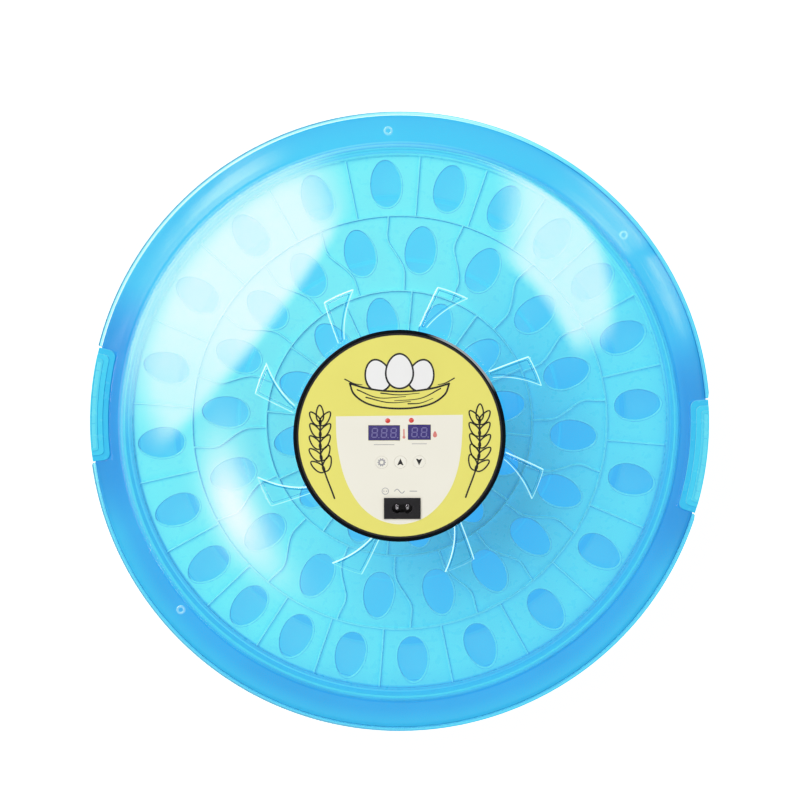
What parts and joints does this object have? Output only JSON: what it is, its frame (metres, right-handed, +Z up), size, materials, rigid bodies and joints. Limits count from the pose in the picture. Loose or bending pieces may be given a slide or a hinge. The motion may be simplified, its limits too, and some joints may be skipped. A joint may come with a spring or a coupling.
{
  "type": "egg incubator",
  "caption": "Round countertop egg incubator: blue tub with a divided egg tray, clear domed lid with swirl ducts, central black control unit with fan and heater.",
  "frame": {"origin": "centre of the plane the four feet rest on, under the dome's axis", "axes": "+Z up through the dome and the control unit; +Y towards the top of the control panel as it is read from above; +X to the panel's right"},
  "size_m": [0.538, 0.54, 0.1959],
  "materials": {
    "base_tub": "moulded, glossy, deep sky blue",
    "rubber_feet": "matt black",
    "grip_left": "moulded, glossy, light cyan",
    "grip_right": "moulded, glossy, light cyan",
    "lid_seal": "translucent pale blue foam",
    "egg_tray": "moulded, satin, light cyan",
    "dome_lid": "clear, polished",
    "housing_gasket": "matt, pale grey",
    "control_housing": "glossy black",
    "housing_screws": "zinc plated",
    "panel_screws": "zinc plated",
    "control_board_screws": "zinc plated",
    "power_board_screws": "zinc plated",
    "fan_screws": "zinc plated",
    "guard_screws": "zinc plated",
    "panel_plate": "black",
    "panel_label": "printed satin film, pale yellow with a cream front",
    "temperature_window": "dark violet, polished",
    "humidity_window": "dark violet, polished",
    "temperature_display": "black with pale segments",
    "humidity_display": "black with pale segments",
    "heating_led": "red, clear",
    "humidity_led": "red, clear",
    "settings_button": "cream, printed symbol",
    "up_button": "cream, printed symbol",
    "down_button": "cream, printed symbol",
    "tact_switches": "black",
    "control_board": "green solder mask",
    "microcontroller": "black, tinned leads",
    "buzzer": "black",
    "power_board": "tan laminate",
    "transformer": "taped winding on a ferrite core",
    "relay": "blue",
    "capacitors": "sleeved aluminium cans",
    "power_inlet": "black",
    "inlet_pins": "nickel plated",
    "mains_leads": "insulated wire",
    "fan_frame": "black",
    "fan_stator": "copper winding on a steel core",
    "fan_bush": "sintered",
    "fan_rotor": "dark grey",
    "fan_lead": "insulated wire",
    "heater_ring": "sheathed element with ceramic ends",
    "heater_clips": "bright sheet",
    "heater_leads": "silicone insulated wire",
    "thermal_cutout": "bright",
    "heater_guard": "black grille",
    "sensor_probe": "white",
    "sensor_lead": "insulated wire"
  },
  "bodies": {
    "base": {"base_tub": "base_tub", "rubber_feet": "rubber_feet", "grip_left": "grip_left", "grip_right": "grip_right", "lid_seal": "lid_seal"},
    "tray": {"egg_tray": "egg_tray"},
    "lid": {"dome_lid": "dome_lid", "housing_gasket": "housing_gasket", "control_housing": "control_housing", "housing_screws": "housing_screws", "panel_screws": "panel_screws", "control_board_screws": "control_board_screws", "power_board_screws": "power_board_screws", "fan_screws": "fan_screws", "guard_screws": "guard_screws", "panel_plate": "panel_plate", "panel_label": "panel_label", "temperature_window": "temperature_window", "humidity_window": "humidity_window", "temperature_display": "temperature_display", "humidity_display": "humidity_display", "heating_led": "heating_led", "humidity_led": "humidity_led", "tact_switches": "tact_switches", "control_board": "control_board", "microcontroller": "microcontroller", "buzzer": "buzzer", "power_board": "power_board", "transformer": "transformer", "relay": "relay", "capacitors": "capacitors", "power_inlet": "power_inlet", "inlet_pins": "inlet_pins", "mains_leads": "mains_leads", "fan_frame": "fan_frame", "fan_stator": "fan_stator", "fan_bush": "fan_bush", "fan_lead": "fan_lead", "heater_ring": "heater_ring", "heater_clips": "heater_clips", "heater_leads": "heater_leads", "thermal_cutout": "thermal_cutout", "heater_guard": "heater_guard", "sensor_probe": "sensor_probe", "sensor_lead": "sensor_lead"},
    "fan": {"fan_rotor": "fan_rotor"},
    "settings_key": {"settings_button": "settings_button"},
    "up_key": {"up_button": "up_button"},
    "down_key": {"down_button": "down_button"}
  },
  "joints": [
    {"name": "lid_lift", "type": "slide", "parent": "base", "child": "lid", "axis": [0, 0, 1], "range_m": [0, 0.25]},
    {"name": "tray_lift", "type": "slide", "parent": "base", "child": "tray", "axis": [0, 0, 1], "range_m": [0, 0.006]},
    {"name": "fan_spin", "type": "hinge", "parent": "lid", "child": "fan", "pos_m": [0, 0, 0.135], "axis": [0, 0, 1], "continuous": true},
    {"name": "settings_press", "type": "slide", "parent": "lid", "child": "settings_key", "axis": [0, 0, -1], "range_m": [0, 0.0005], "stiffness_N_per_m": 800},
    {"name": "up_press", "type": "slide", "parent": "lid", "child": "up_key", "axis": [0, 0, -1], "range_m": [0, 0.0005], "stiffness_N_per_m": 800},
    {"name": "down_press", "type": "slide", "parent": "lid", "child": "down_key", "axis": [0, 0, -1], "range_m": [0, 0.0005], "stiffness_N_per_m": 800}
  ]
}
